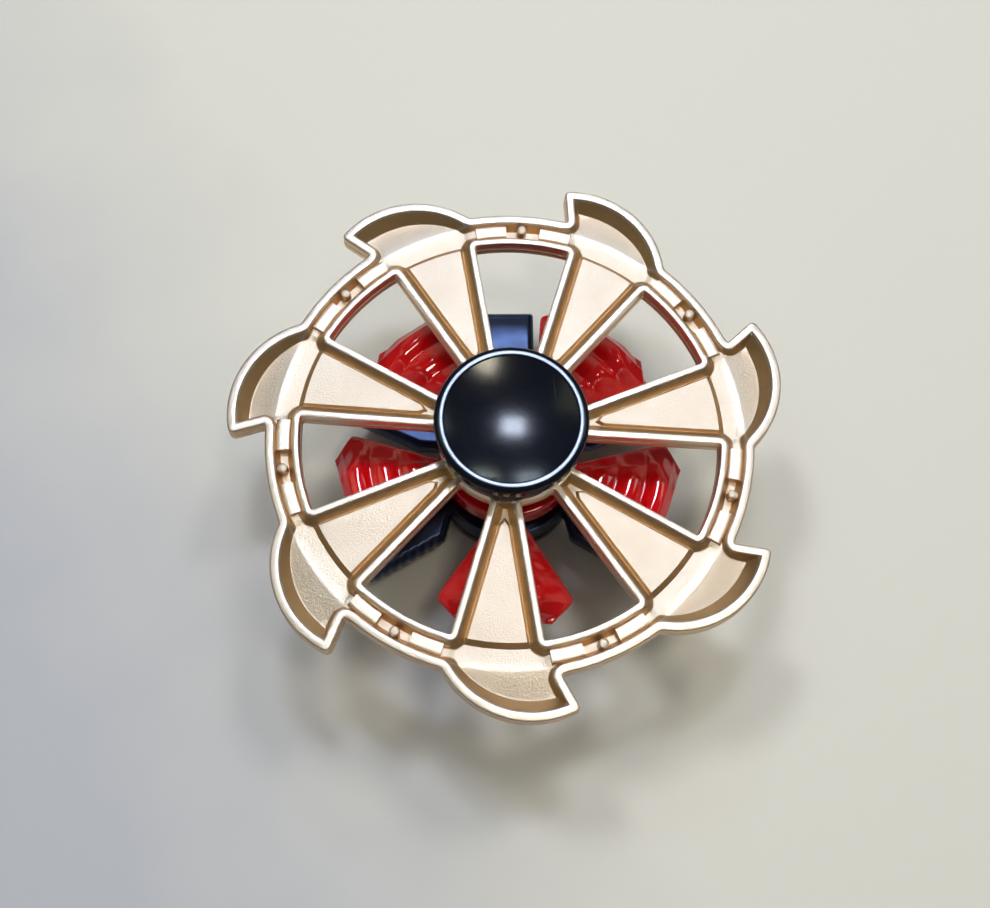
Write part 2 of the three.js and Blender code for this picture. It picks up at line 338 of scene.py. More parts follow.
def softened(section, radius):
    """A section with each corner rounded off, apart from points on the axis."""
    out = []
    n = len(section)
    closed = section[0][0] > 0
    for i, point in enumerate(section):
        if (not closed and i in (0, n - 1)) or point[0] == 0:
            out.append(point)
            continue
        before, after = section[i - 1], section[(i + 1) % n]
        reach = min(math.dist(before, point), math.dist(after, point)) * 0.45
        out.extend(fillet(before, point, after, min(radius, reach)))
    return out


def colour_management():
    view = bpy.context.scene.view_settings
    view.view_transform = "Standard"
    view.look = "None"


def finish_piece(name, mesh, body, node, material):
    piece = bpy.data.objects.new(name, mesh)
    bpy.context.collection.objects.link(piece)
    mesh.materials.append(material)
    shading = piece.modifiers.new("flat_face_normals", "WEIGHTED_NORMAL")
    shading.keep_sharp = True
    shading.weight = 100
    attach(piece, body)
    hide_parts(node)


def turned_piece(name, section, body, node, material, soft=0.12):
    shell = Shell()
    turned_shell(shell, softened(section, soft))
    finish_piece(name, shell.mesh(name), body, node, material)


def store(mesh, name, values, domain="POINT"):
    """Keeps a number for each vertex or face, for the mesh's material."""
    attribute = mesh.attributes.new(name, "FLOAT", domain)
    attribute.data.foreach_set("value", np.asarray(values, np.float32))


def vertex_points(mesh):
    points = np.empty(len(mesh.vertices) * 3)
    mesh.vertices.foreach_get("co", points)
    return points.reshape(-1, 3) / MM


# ------------------------------------------------------------------ materials
class Nodes:
    """A material's node tree, with short calls to add and link nodes."""

    def __init__(self, name):
        self.material = bpy.data.materials.new(name)
        self.material.use_nodes = True
        self.tree = self.material.node_tree
        self.shader = self.tree.nodes["Principled BSDF"]
        self.where = self.add("ShaderNodeTexCoord").outputs["Object"]

    def add(self, kind, **settings):
        node = self.tree.nodes.new(kind)
        for key, value in settings.items():
            setattr(node, key, value)
        return node

    def feed(self, source, node, socket):
        """Links a socket to an input, or sets the input to a number or a colour."""
        if isinstance(source, bpy.types.NodeSocket):
            self.tree.links.new(source, node.inputs[socket])
        else:
            node.inputs[socket].default_value = (*source, 1) if isinstance(source, tuple) else source

    def set(self, **values):
        for key, value in values.items():
            self.shader.inputs[key.replace("_", " ")].default_value = value

    def stretched(self, scale, turn=(0, 0, 0)):
        mapping = self.add("ShaderNodeMapping")
        mapping.inputs["Scale"].default_value = scale
        mapping.inputs["Rotation"].default_value = turn
        self.feed(self.where, mapping, "Vector")
        return mapping.outputs["Vector"]

    def noise(self, scale, detail, roughness=0.5, where=None):
        node = self.add("ShaderNodeTexNoise")
        node.inputs["Scale"].default_value = scale
        node.inputs["Detail"].default_value = detail
        node.inputs["Roughness"].default_value = roughness
        self.feed(where or self.where, node, "Vector")
        return node.outputs["Fac"]

    def remap(self, value, low, high, out_low, out_high):
        node = self.add("ShaderNodeMapRange")
        self.feed(value, node, "Value")
        limits = {"From Min": low, "From Max": high, "To Min": out_low, "To Max": out_high}
        for key, number in limits.items():
            node.inputs[key].default_value = number
        return node.outputs["Result"]

    def math(self, operation, a, b):
        node = self.add("ShaderNodeMath", operation=operation)
        self.feed(a, node, 0)
        self.feed(b, node, 1)
        return node.outputs["Value"]

    def mix(self, factor, first, second):
        """A colour between two colours."""
        node = self.add("ShaderNodeMix", data_type="RGBA")
        for socket, value in ((0, factor), (6, first), (7, second)):
            self.feed(value, node, socket)
        return node.outputs[2]

    def mix_numbers(self, factor, first, second):
        node = self.add("ShaderNodeMix", data_type="FLOAT")
        for socket, value in ((0, factor), (2, first), (3, second)):
            self.feed(value, node, socket)
        return node.outputs[0]

    def attribute(self, name):
        return self.add("ShaderNodeAttribute", attribute_name=name).outputs["Fac"]

    def bump(self, height, strength, distance, after=None):
        node = self.add("ShaderNodeBump")
        node.inputs["Strength"].default_value = strength
        node.inputs["Distance"].default_value = distance
        self.feed(height, node, "Height")
        if after:
            self.feed(after, node, "Normal")
        return node.outputs["Normal"]

    def radius(self):
        """Distance from the spin axis, in metres."""
        flat = self.add("ShaderNodeVectorMath", operation="MULTIPLY")
        flat.inputs[1].default_value = (1, 1, 0)
        self.feed(self.where, flat, 0)
        length = self.add("ShaderNodeVectorMath", operation="LENGTH")
        self.feed(flat.outputs["Vector"], length, 0)
        return length.outputs["Value"]


def champagne_gold():
    """Satin plating: a fine cast grain on the floors. Steep slopes get painted shade, a deeper and darker
    gold, and the polished rims, ridge and beads get a painted highlight, a paler gold, as well as a smoother
    finish.
    """
    n = Nodes("champagne_gold")
    polish_and_highlight = n.attribute("polish_and_highlight")
    patches = n.noise(90, 3, 0.6)
    flat = n.mix(n.remap(patches, 0.35, 0.65, 0, 1), (0.89, 0.73, 0.59), (0.94, 0.79, 0.66))
    # Painted shade: steep faces are mixed towards a darker, deeper gold (0.74, 0.50, 0.27).
    shaded_slopes = n.mix(n.attribute("steep"), flat, (0.74, 0.50, 0.27))
    # Painted highlight: the polished marks get a paler gold base colour (0.96, 0.82, 0.72). The same mask
    # also lowers the roughness and softens the grain's bump.
    n.feed(n.mix(polish_and_highlight, shaded_slopes, (0.96, 0.82, 0.72)), n.shader, "Base Color")
    grain = n.noise(4200, 4, 0.65)
    matte = n.remap(grain, 0.3, 0.7, 0.36, 0.46)
    sheen = n.remap(n.noise(700, 3), 0.3, 0.7, 0.32, 0.42)
    n.feed(n.mix_numbers(polish_and_highlight, matte, sheen), n.shader, "Roughness")
    fade = n.remap(polish_and_highlight, 0, 1, 1.0, 0.45)
    fine = n.bump(n.math("MULTIPLY", grain, fade), 1.0, 0.00007)
    n.feed(n.bump(n.noise(900, 3), 0.3, 0.00006, fine), n.shader, "Normal")
    n.set(Metallic=1.0)
    return n.material


def candy_red():
    """Satin red under a clear glossy coat, with a faint orange peel."""
    n = Nodes("candy_red")
    tone = n.remap(n.noise(260, 2), 0.3, 0.7, 0, 1)
    deep = n.mix(tone, (0.42, 0.0007, 0.003), (0.52, 0.0009, 0.004))
    n.feed(n.mix(n.attribute("edge"), deep, (0.45, 0.001, 0.004)), n.shader, "Base Color")
    n.feed(n.remap(n.noise(3000, 3), 0.3, 0.7, 0.34, 0.42), n.shader, "Roughness")
    n.feed(n.bump(n.noise(700, 2), 0.05, 0.00004), n.shader, "Normal")
    n.set(Metallic=0.1, Specular_IOR_Level=0.0, Coat_Weight=1.0, Coat_Roughness=0.045, Coat_IOR=1.65)
    return n.material


def gun_black():
    """Blue-black plating with a soft sheen and slight waviness."""
    n = Nodes("gun_black")
    tone = n.remap(n.noise(150, 3), 0.35, 0.65, 0, 1)
    n.feed(n.mix(tone, (0.032, 0.047, 0.098), (0.045, 0.065, 0.13)), n.shader, "Base Color")
    n.feed(n.remap(n.noise(900, 3), 0.3, 0.7, 0.3, 0.36), n.shader, "Roughness")
    n.feed(n.bump(n.noise(400, 2), 0.05, 0.00004), n.shader, "Normal")
    n.set(Metallic=1.0)
    return n.material


def black_cap():
    """A satin black dish with faint scratches, and a brighter polished lip."""
    n = Nodes("black_cap")
    r = n.radius()
    past_inner = n.remap(r, (LIP_INNER + 0.03) * MM, (LIP_INNER + 0.15) * MM, 0, 1)
    before_outer = n.remap(r, (LIP_OUTER - 0.17) * MM, (LIP_OUTER - 0.05) * MM, 1, 0)
    on_lip = n.math("MULTIPLY", past_inner, before_outer)
    n.feed(n.mix(on_lip, (0.003, 0.004, 0.009), (0.40, 0.44, 0.58)), n.shader, "Base Color")
    first = n.noise(700, 2, where=n.stretched((1, 0.05, 1), (0, 0, 0.7)))
    second = n.noise(900, 2, where=n.stretched((0.06, 1, 1), (0, 0, 0.35)))
    scratches = n.remap(n.math("MAXIMUM", first, second), 0.72, 0.76, 0, 1)
    satin = n.remap(n.noise(2600, 4), 0.3, 0.7, 0.14, 0.18)
    n.feed(n.mix_numbers(on_lip, satin, 0.36), n.shader, "Roughness")
    fine = n.bump(n.noise(4200, 3), 0.1, 0.00002)
    n.feed(n.bump(scratches, 0.35, 0.00003, fine), n.shader, "Normal")
    n.feed(on_lip, n.shader, "Metallic")
    n.set(Specular_IOR_Level=0.36)
    return n.material


def turned_metal(name, color, low, high, lines):
    """Metal with the fine rings that a lathe or a grinding wheel leaves. low and high limit its roughness."""
    n = Nodes(name)
    rings = n.add("ShaderNodeTexNoise", noise_dimensions="1D")
    rings.inputs["Scale"].default_value = lines
    rings.inputs["Detail"].default_value = 3
    rise = n.add("ShaderNodeVectorMath", operation="DOT_PRODUCT")
    rise.inputs[1].default_value = (0, 0, 1)
    n.feed(n.where, rise, 0)
    n.feed(n.math("ADD", n.radius(), rise.outputs["Value"]), rings, "W")
    tone = n.noise(300, 3)
    lighter = tuple(min(1, c * 1.12) for c in color)
    n.feed(n.mix(tone, color, lighter), n.shader, "Base Color")
    n.feed(n.remap(rings.outputs["Fac"], 0.3, 0.7, low, high), n.shader, "Roughness")
    n.feed(n.bump(rings.outputs["Fac"], 0.15, 0.00003), n.shader, "Normal")
    n.set(Metallic=1.0)
    return n.material


# ------------------------------------------------------------------ gold wheel
def outline_parts(outline):
    """Splits the outline into the claws' long curved backs and all the rest."""
    radius = np.hypot(*outline.T)
    climbs = np.roll(radius, -1) - radius
    on_back = (radius > RING_OUTER + 0.15) & (np.abs(climbs) < 0.5)
    loop = np.vstack([outline, outline[:1]])
    flags = np.append(on_back, on_back[:1])
    lag = (TIP_ANGLE - np.degrees(np.arctan2(loop[:, 1], loop[:, 0]))) % CLAW_PITCH
    flags &= (lag > 0.9) & (lag < ROOT_LAG - 0.5)
    flags &= (lag > NOTCH_LAG + 0.5) | (np.hypot(*loop.T) > TIP_RADIUS - 0.62)
    return runs_where(loop, flags), runs_where(loop, ~flags)


def wheel_outline():
    runs = []
    for k in range(CLAWS):
        tip_angle = TIP_ANGLE + k * CLAW_PITCH
        notch_angle = tip_angle - NOTCH_LAG
        root_angle = tip_angle - ROOT_LAG
        root = polar(RING_OUTER, root_angle)
        tip = polar(TIP_RADIUS, tip_angle)
        notch = polar(NOTCH_RADIUS, notch_angle)
        ring = arc(RING_OUTER, notch_angle + 0.8, root_angle + CLAW_PITCH, 26)
        runs.append(arc_between(root, tip, CLAW_CURVE, 40))
        runs.append(segment(tip, notch, 6))
        runs.append(np.vstack([[notch], ring[1:]]))
    return rounded_loop(runs, CLAW_CUTS * CLAWS)


def window_outline(index):
    middle = SPOKE_ANGLE + CLAW_PITCH * (index + 0.5)
    low, high = middle - HALF_WINDOW, middle + HALF_WINDOW
    runs = [
        arc(RING_INNER, low, high, 30),
        segment(polar(RING_INNER, high), polar(WHEEL_HUB, high), 12),
        arc(WHEEL_HUB, high, low, 12),
        segment(polar(WHEEL_HUB, low), polar(RING_INNER, low), 12),
    ]
    return rounded_loop(runs, WINDOW_CUTS)


STEP_INNER, STEP_OUTER = 26.5, 27.2  # the slope at the end of a tray's raised panel
RIDGE = 29.8
PANEL_EDGE = 2.15
PANEL_SLOPE = 0.35  # width of the slope round a panel
PANEL_TIP = 11.5
TIP_FLARE = 0.82  # slope of the two sides of the panel's tip
TIP_SQUARE = 0.77  # turns a distance across the spoke into one square to those sides
CHANNEL_END = 0.35  # how far past the spoke's edge line the ring's channel reaches
TRAY_START = 1.1
BEAD_MIDDLE, BEAD_HALF = 28.55, 0.95
BEAD_FROM, BEAD_TO = 4.5, 12.55  # degrees from a window's middle
POST_RADIUS, POST_TURN, POST_SIZE = 28.8, 0.4, 0.62
# Levels, counted from the rims' top.
PANEL = -0.6
GROOVE = -1.02
BASIN = -1.25
RIDGE_LEVEL = -0.98
CLAW_FLOOR = -1.75
CHANNEL = -0.92
PIT = -1.55
BRIDGE = -0.5
KNOB = -0.14
BEAD_RISE = 0.62  # height of a bead above the channel
BACK_GRADE = 1.02  # slope of the wall inside a claw's long back


def claw_floor(r):
    """Level of a claw's floor, which falls away from the ridge towards the tip."""
    return blend(RIDGE_LEVEL, CLAW_FLOOR, (r - RIDGE) / (TIP_RADIUS - 1 - RIDGE))


def wheel_levels(outline, windows):
    """Returns the wheel's height(points) from the rims, rim_distance(points) and tray_half(r, turn)."""
    backs, rest = outline_parts(outline)

    def window_distance(points):
        near = -depth_inside(points, windows[0])
        for window in windows[1:]:
            near = np.minimum(near, -depth_inside(points, window))
        return near

    def rim_distance(points):
        return np.minimum(depth_inside(points, outline), window_distance(points))

    def fall(over, grade, soft=0.1):
        """The slope down from a rim, rounded where it starts."""
        return -grade * np.where(over > soft, over, np.clip(over + soft, 0, 2 * soft) ** 2 / (4 * soft))

    def from_edge(turn):
        """How many degrees past the spoke's edge a direction lies."""
        return np.abs(turn) - HALF_SPOKE

    def tray_half(r, turn):
        """Half of a tray's angle, which spreads to one side past the ring's inner edge."""
        spread = np.clip((r - RING_INNER) / 3.3, 0, 1)
        return HALF_SPOKE + np.where(turn > 0, 1.6, -0.4) * spread

    def height(points):
        r = np.hypot(points[:, 0], points[:, 1])
        angle = np.degrees(np.arctan2(points[:, 1], points[:, 0]))
        turn = (angle - SPOKE_ANGLE + CLAW_PITCH / 2) % CLAW_PITCH - CLAW_PITCH / 2
        from_window = np.abs(turn) - CLAW_PITCH / 2
        side = r * np.sin(np.radians(tray_half(r, turn) - np.abs(turn)))
        across = np.abs(r * np.sin(np.radians(turn)))

        from_tip = ((r - PANEL_TIP) * TIP_FLARE - across) * TIP_SQUARE
        in_panel = np.minimum(side - PANEL_EDGE, from_tip)
        panel = blend(GROOVE, PANEL, in_panel / PANEL_SLOPE + 1)
        tray = blend(panel, BASIN, (r - STEP_INNER) / (STEP_OUTER - STEP_INNER))
        climb = blend(BASIN, RIDGE_LEVEL, (r - STEP_OUTER) / (RIDGE - STEP_OUTER))
        tray = np.where(r > STEP_OUTER, climb, tray)
        tray = np.where(r > RIDGE, claw_floor(r), tray)

        bead = np.sqrt(np.clip(1 - (np.abs(r - BEAD_MIDDLE) / BEAD_HALF) ** 6, 0, 1))
        in_bead = (np.abs(from_window) > BEAD_FROM - 0.02) & (np.abs(from_window) < BEAD_TO + 0.02)
        channel = np.where(in_bead, CHANNEL + BEAD_RISE * bead, CHANNEL)
        channel = np.where(np.abs(from_window) < BEAD_FROM - 0.13, PIT, channel)
        offset_turn = np.where(turn > 0, from_window, -from_window) - POST_TURN
        post = np.hypot(r - POST_RADIUS, r * np.radians(offset_turn))
        knob = KNOB - 0.12 * np.clip(post / POST_SIZE, 0, 1) ** 4
        channel = np.where(post < POST_SIZE + 0.01, knob, channel)
        on_bridge = (np.abs(r * np.radians(offset_turn)) < 0.3) & (r > POST_RADIUS) & (post > POST_SIZE)
        channel = np.where(on_bridge, np.maximum(channel, BRIDGE), channel)
        mixed = blend(channel, tray, (side - CHANNEL_END) / (TRAY_START - CHANNEL_END))
        floor = np.where(r > RIDGE + 0.1, tray, mixed)

        in_channel = np.clip((from_edge(turn) - 0.6) / 1.2, 0, 1) * (r > RING_INNER)
        in_claw = np.clip((r - RIDGE + 0.3) / 1.5, 0, 1)
        window_fall = fall(window_distance(points) - RIM, 1.08 + 1.0 * in_channel)
        hub_fall = fall(r - (WHEEL_HUB + 0.15), 2.2)
        back_fall = fall(distance_to(points, backs) - RIM, BACK_GRADE)
        notch_fall = fall(distance_to(points, rest) - RIM, 2.3)
        slope = np.maximum(np.maximum(window_fall, hub_fall), np.maximum(back_fall, notch_fall))
        cove = 0.05 + 0.07 * in_claw
        meet = np.clip(cove - np.abs(slope - floor), 0, None)
        return np.maximum(slope, floor) + meet ** 2 / (4 * cove) * (slope < -0.2)

    return height, rim_distance, tray_half


def wheel_curves(outline, windows, rim_distance, tray_half):
    """The lines on the wheel's top where its slope changes."""
    curves = []
    rim_steps = [0.6, 0.86, 0.905, 0.95, 0.995, 1.04, 1.2, 1.32, 1.4, 1.5, 1.6, 1.7, 1.8, 1.9, 2.05, 2.2, 2.4]
    for step in rim_steps:
        inset = offset(outline, -step)
        curves += runs_where(np.vstack([inset, inset[:1]]), np.ones(len(inset) + 1, bool))
        for window in windows:
            outset = offset(window, step)
            outset = np.vstack([outset, outset[:1]])
            curves += runs_where(outset, np.hypot(*outset.T) > WHEEL_HUB - 0.55)

    for run in outline_parts(outline)[0]:
        along = np.gradient(run, axis=0)
        inward = np.stack([-along[:, 1], along[:, 0]], -1) / np.linalg.norm(along, axis=1)[:, None]
        for past in (-0.3, -0.12, -0.05, 0.0, 0.05, 0.12, 0.3):
            foot = run
            for _ in range(12):
                reach = RIM + past - claw_floor(np.hypot(*foot.T)) / BACK_GRADE
                foot = run + inward * reach[:, None]
            curves += runs_where(foot, rim_distance(foot) > reach - 0.06)

    sector = []
    for step in rim_steps[1:]:
        sector.append(arc(WHEEL_HUB + 0.15 - RIM + step, -HALF_SPOKE, HALF_SPOKE, 16))
    for r in (STEP_INNER, STEP_INNER + 0.08, STEP_OUTER - 0.08, STEP_OUTER, STEP_OUTER + 0.1):
        sector.append(arc(r, -HALF_SPOKE, HALF_SPOKE + 1.5, 40))
    for r in (28.5, RIDGE - 0.12, RIDGE, RIDGE + 0.12, 31, 32.2, 33.4, 34):
        sector.append(arc(r, -HALF_SPOKE - 2, HALF_SPOKE + 5, 50))
    for edge in (PANEL_EDGE - PANEL_SLOPE, PANEL_EDGE - 0.3, PANEL_EDGE - 0.05, PANEL_EDGE):
        tip = PANEL_TIP - (PANEL_EDGE - edge) * 1.6
        corner = next(r for r in np.linspace(tip, tip + 4, 400)
                      if r * math.sin(math.radians(HALF_SPOKE)) - edge < (r - tip) * TIP_FLARE)
        corner_turn = math.degrees(math.radians(HALF_SPOKE) - math.asin(edge / corner))
        for hand in (-1, 1):
            sector.append(segment(polar(tip, 0.0), polar(corner, hand * corner_turn), 6))
            radii = np.linspace(corner, STEP_OUTER, 40)
            sector.append(polar(radii, hand * np.degrees(np.radians(HALF_SPOKE) - np.arcsin(edge / radii))))
    radii = np.linspace(RING_INNER + 0.7, RIDGE + 0.1, 14)
    for level in (CHANNEL_END, TRAY_START):
        for hand in (-1, 1):
            half = np.radians(tray_half(radii, np.full(len(radii), hand)))
            sector.append(polar(radii, hand * np.degrees(half - np.arcsin(level / radii))))

    middle = CLAW_PITCH / 2
    for part in np.cos(np.radians(np.arange(0, 181, 15))):
        r = BEAD_MIDDLE + part * BEAD_HALF
        for hand in (-1, 1):
            sector.append(arc(r, middle + hand * BEAD_FROM, middle + hand * BEAD_TO, 14))
    for turn in (BEAD_FROM - 0.15, BEAD_FROM, BEAD_TO, BEAD_TO + 0.1):
        for hand in (-1, 1):
            inner = polar(RING_INNER + 1.0, middle + hand * turn)
            outer = polar(RING_OUTER - 1.0, middle + hand * turn)
            sector.append(segment(inner, outer, 10))
    post = polar(POST_RADIUS, middle + POST_TURN)
    for size in (0.25, 0.45, POST_SIZE, POST_SIZE + 0.05):
        sector.append(post + polar(size, np.linspace(0, 360, 25)))

    for k in range(CLAWS):
        for curve in sector:
            turned = turned_by(curve, SPOKE_ANGLE + k * CLAW_PITCH)
            curves += runs_where(turned, rim_distance(turned) > 0.5)
    return curves


def gold_wheel(material):
    outline = wheel_outline()
    windows = [window_outline(k) for k in range(CLAWS)]
    windows = [w[::-1] if signed_area(w) < 0 else w for w in windows]
    height, rim_distance, tray_half = wheel_levels(outline, windows)
    curves = wheel_curves(outline, windows, rim_distance, tray_half)
    wall = [(0.28, 0), (0.19, -0.025), (0.1, -0.08), (0.04, -0.16), (0.01, -0.26), (0, -0.4), (0, -1.32),
            (-0.01, -1.38), (-0.05, -1.4), (-0.06, -1.46), (-0.06, -2.3), (0, -2.44), (0.14, -2.5)]
    hole_wall = [(0.3, 0), (0.2, -0.04), (0.14, -0.15), (0.13, -1.3), (0.09, -1.36), (0.02, -1.39),
                 (0, -1.45), (0, -2.3), (0.05, -2.44), (0.18, -2.5)]
    boss = WHEEL_HUB - 0.24
    hub = [(COLLAR + 0.12, 0), (COLLAR, 0.12), (COLLAR, 0.66), (COLLAR - 0.14, COLLAR_RISE),
           (SEAT + 0.12, COLLAR_RISE), (SEAT, 0.68), (SEAT, -3.18), (SEAT + 0.12, -3.3), (boss - 0.12, -3.3),
           (boss, -3.22), (boss, -2.58), (boss + 0.04, -2.5)]
    shell = Shell()
    relief_shell(shell, offset(outline, SHOULDER), windows, curves, height, wall, hole_wall, hub)
    shell.points = [p + [0, 0, WHEEL_TOP] for p in shell.points]
    mesh = shell.mesh("gold_wheel_cast")
    points = vertex_points(mesh)
    radius = np.hypot(points[:, 0], points[:, 1])
    level = points[:, 2] - WHEEL_TOP
    # The mask stored below marks the rim tops, the lower ledge, the ridge line and the beads. They get a
    # smoother finish and a painted highlight in a paler gold.
    near_rim = rim_distance(points[:, :2]) < 1.4
    rim = np.where(level > -0.25, 1.0, np.where(level < -1.3, 0.35, 0.0)) * near_rim
    ridge = np.exp(-((radius - RIDGE) / 0.16) ** 2) * (level > -1.2)
    bead = (np.abs(radius - BEAD_MIDDLE) < 0.7) & (level > -0.75) & (level < -0.25)
    store(mesh, "polish_and_highlight", np.maximum(np.maximum(rim, ridge), bead * 0.8))
    # The steep value marks the faces that the gold material darkens with painted shade.
    lift = np.array([abs(face.normal.z) for face in mesh.polygons])
    store(mesh, "steep", np.clip((0.95 - lift) / 0.15, 0, 1), "FACE")
    finish_piece("gold_wheel_cast", mesh, "gold_spinning", "gold_wheel", material)


# ------------------------------------------------------------------ red rotor
BLADES = 5
BLADE_ANGLE = -91.48  # direction of the first blade
BLADE_ROOT, BLADE_NECK, BLADE_WIDE, BLADE_END = 7.6, 8.0, 19.3, 22.3  # distances from the axis
NECK_HALF, WIDE_HALF, END_HALF = 1.2, 9.08, 6.09  # half widths there, from the neck on
BLADE_BASE = RED_TOP - 3.3
RED_HUB = 9.1
PLATEAU = 0.52  # share of the blade's half width that the ridged middle takes
RIDGE_PITCH = 3.75
LOWEST_EDGE = -2.75  # lowest level of a blade's top, which stays above its flat underside
ROUND_WIDTH, ROUND_DROP = 0.35, 0.3  # the rounding along a blade's edge


def blade_half_width(u):
    """Half of a blade's width at a distance from the axis, with its widest corner a little rounded."""
    flare = NECK_HALF + (u - BLADE_NECK) * (WIDE_HALF - NECK_HALF) / (BLADE_WIDE - BLADE_NECK)
    taper = WIDE_HALF - (u - BLADE_WIDE) * (WIDE_HALF - END_HALF) / (BLADE_END - BLADE_WIDE)
    gap = taper - flare
    return (flare + taper - np.sqrt(gap * gap + 0.5)) / 2


def blade_height(u, v):
    """Height of a blade's top from the hub's top face, at u along the blade and v across it."""
    half = blade_half_width(u)
    share = np.abs(v) / half
    reach = np.clip((u - BLADE_ROOT) / (BLADE_WIDE - BLADE_ROOT), 0, 1)
    bent = u + 0.03 * v * v
    phase = (bent - 12.75) / RIDGE_PITCH
    wave = np.sqrt(np.cos(np.pi * phase) ** 2 + 0.012)
    on_plateau = np.clip((0.92 - share) / (0.92 - PLATEAU + 0.08), 0, 1) ** 1.3
    ridges = (0.25 + 0.45 * reach) * wave * on_plateau * np.clip((u - 9.6) / 2.0, 0, 1)
    plateau = -0.7 - 0.2 * reach
    over = share - PLATEAU
    flank = -(over + np.sqrt(over * over + 0.006)) / (2 * (1 - PLATEAU)) * (0.5 + 1.35 * reach)
    crown = -0.10 * np.minimum(share / PLATEAU, 1) ** 2
    ending = -np.clip(u - (BLADE_END - 1.15), 0, None) * 0.75
    level = plateau + ridges + flank + crown + ending
    return LOWEST_EDGE + np.logaddexp(0, (level - LOWEST_EDGE) / 0.08) * 0.08


def blade_shell(shell, turn):
    across = np.sin(np.linspace(-np.pi / 2, np.pi / 2, 61))
    across = 0.5 * across + 0.5 * np.linspace(-1, 1, 61)
    along = np.concatenate([np.linspace(BLADE_ROOT, 21.8, 110), [21.95, 22.08, 22.18, 22.25, BLADE_END]])
    u, s = np.meshgrid(along, across, indexing="ij")
    v = s * blade_half_width(u)
    from_side = (1 - np.abs(s)) * blade_half_width(u)
    inset = np.minimum(np.minimum(from_side, BLADE_END - u), ROUND_WIDTH)
    z = RED_TOP + blade_height(u, v) - ROUND_DROP * (1 - inset / ROUND_WIDTH) ** 2
    flat = turned_by(np.stack([u.ravel(), v.ravel()], -1), turn)
    rows, cols = u.shape
    index = np.arange(rows * cols).reshape(rows, cols)
    faces = np.stack([index[:-1, :-1], index[1:, :-1], index[1:, 1:], index[:-1, 1:]], -1).reshape(-1, 4)
    shell.patch(flat, faces, z.ravel())
    border = np.concatenate([index[0, :-1], index[:-1, -1], index[-1, :0:-1], index[:0:-1, 0]])
    if signed_area(flat[border]) < 0:
        border = border[::-1]
    loop = flat[border]
    rings = [np.column_stack([loop, z.ravel()[border]])]
    for inward, level in ((0.0, 0.25), (0.0, 0.08), (0.02, 0.0)):
        rings.append(ring3(offset(loop, -inward), BLADE_BASE + level))
    shell.strip(rings)
    low = rings[-1][:, :2]
    points, faces = triangulated([low], [], lambda p: depth_inside(p, low) > 0)
    shell.patch(points, faces, np.full(len(points), BLADE_BASE))


def red_rotor(material):
    shell = Shell()
    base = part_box("red_rotor")[0].z / MM
    section = [(SEAT, base + 0.15), (SEAT + 0.15, base), (RED_HUB - 0.3, base), (RED_HUB, base + 0.3),
               (RED_HUB, RED_TOP - 0.34), (RED_HUB - 0.1, RED_TOP - 0.1), (RED_HUB - 0.34, RED_TOP),
               (SEAT + 0.15, RED_TOP), (SEAT, RED_TOP - 0.15)]
    turned_shell(shell, softened(section, 0.1))
    for k in range(BLADES):
        blade_shell(shell, BLADE_ANGLE + k * 360 / BLADES)
    mesh = shell.mesh("red_rotor_blades", weld=1e-4)
    points = vertex_points(mesh)
    store(mesh, "edge", np.clip((BLADE_BASE + 1.2 - points[:, 2]) / 1.2, 0, 1))
    finish_piece("red_rotor_blades", mesh, "red_spinning", "red_rotor", material)


# ------------------------------------------------------------------ black rotor
ARMS = 6
ARM_ANGLE = 90.5  # direction of the first arm
ARM_BASE = BLACK_TOP - 3.0
ARM_TOP = BLACK_TOP - 0.1
ARM_ROOT, ARM_NECK, ARM_SHOULDER, ARM_END = 7.0, 9.9, 12.3, 23.8  # distances from the axis
ARM_CUT = 0.55  # how far an arm's corners are rounded
BLACK_HUB = 9.6
SCALLOP_PITCH, SCALLOP_DEPTH = 1.37, 0.24


def arm_outline(wide):
    """A neck that spreads into a head. A wide arm has scallops along one side."""
    root, shoulder, end = (1.6, 4.1, 4.1) if wide else (1.9, 3.1, 4.25)
    left = segment((ARM_END, end), (ARM_SHOULDER, shoulder), 96)
    if wide:
        along = ARM_END - 0.4 - left[:, 0]
        scallop = np.abs(np.sin(np.pi * along / SCALLOP_PITCH)) * SCALLOP_DEPTH
        left[:, 1] -= SCALLOP_DEPTH - scallop
        left[[0, -1], 1] = shoulder
    runs = [
        segment((ARM_ROOT, -root), (ARM_NECK, -root), 4),
        segment((ARM_NECK, -root), (ARM_SHOULDER, -shoulder), 6),
        segment((ARM_SHOULDER, -shoulder), (ARM_END, -end), 12),
        segment((ARM_END, -end), (ARM_END, end), 10),
        left,
        segment((ARM_SHOULDER, shoulder), (ARM_NECK, root), 6),
        segment((ARM_NECK, root), (ARM_ROOT, root), 4),
        segment((ARM_ROOT, root), (ARM_ROOT, -root), 4),
    ]
    return rounded_loop(runs, (ARM_CUT,) * len(runs))


def arm_shell(shell, wide, turn):
    outline = arm_outline(wide)

    def height(points):
        gap = depth_inside(points, outline)
        bevel = np.clip(1 - (gap - 0.12) / 0.75, 0, 1)
        return ARM_TOP - 0.5 * bevel ** 1.6

    curves = []
    for step in (0.3, 0.45, 0.6, 0.75, 0.87, 1.0):
        inset = offset(outline, -step)
        loop = np.vstack([inset, inset[:1]])
        curves += runs_where(loop, depth_inside(loop, outline) > step * 0.8)
    wall = [(0.16, 0), (0.06, ARM_TOP - 0.62), (0, ARM_TOP - 0.75), (0, ARM_BASE + 0.3),
            (0.04, ARM_BASE + 0.06), (0.1, ARM_BASE)]
    part = Shell()
    relief_shell(part, outline, [], curves, height, wall)
    flat = np.concatenate(part.points)
    flat[:, :2] = turned_by(flat[:, :2], turn)
    shell.add(flat, np.zeros((0, 3), int))
    shell.faces.extend([[i + shell.count - len(flat) for i in face] for face in part.faces])


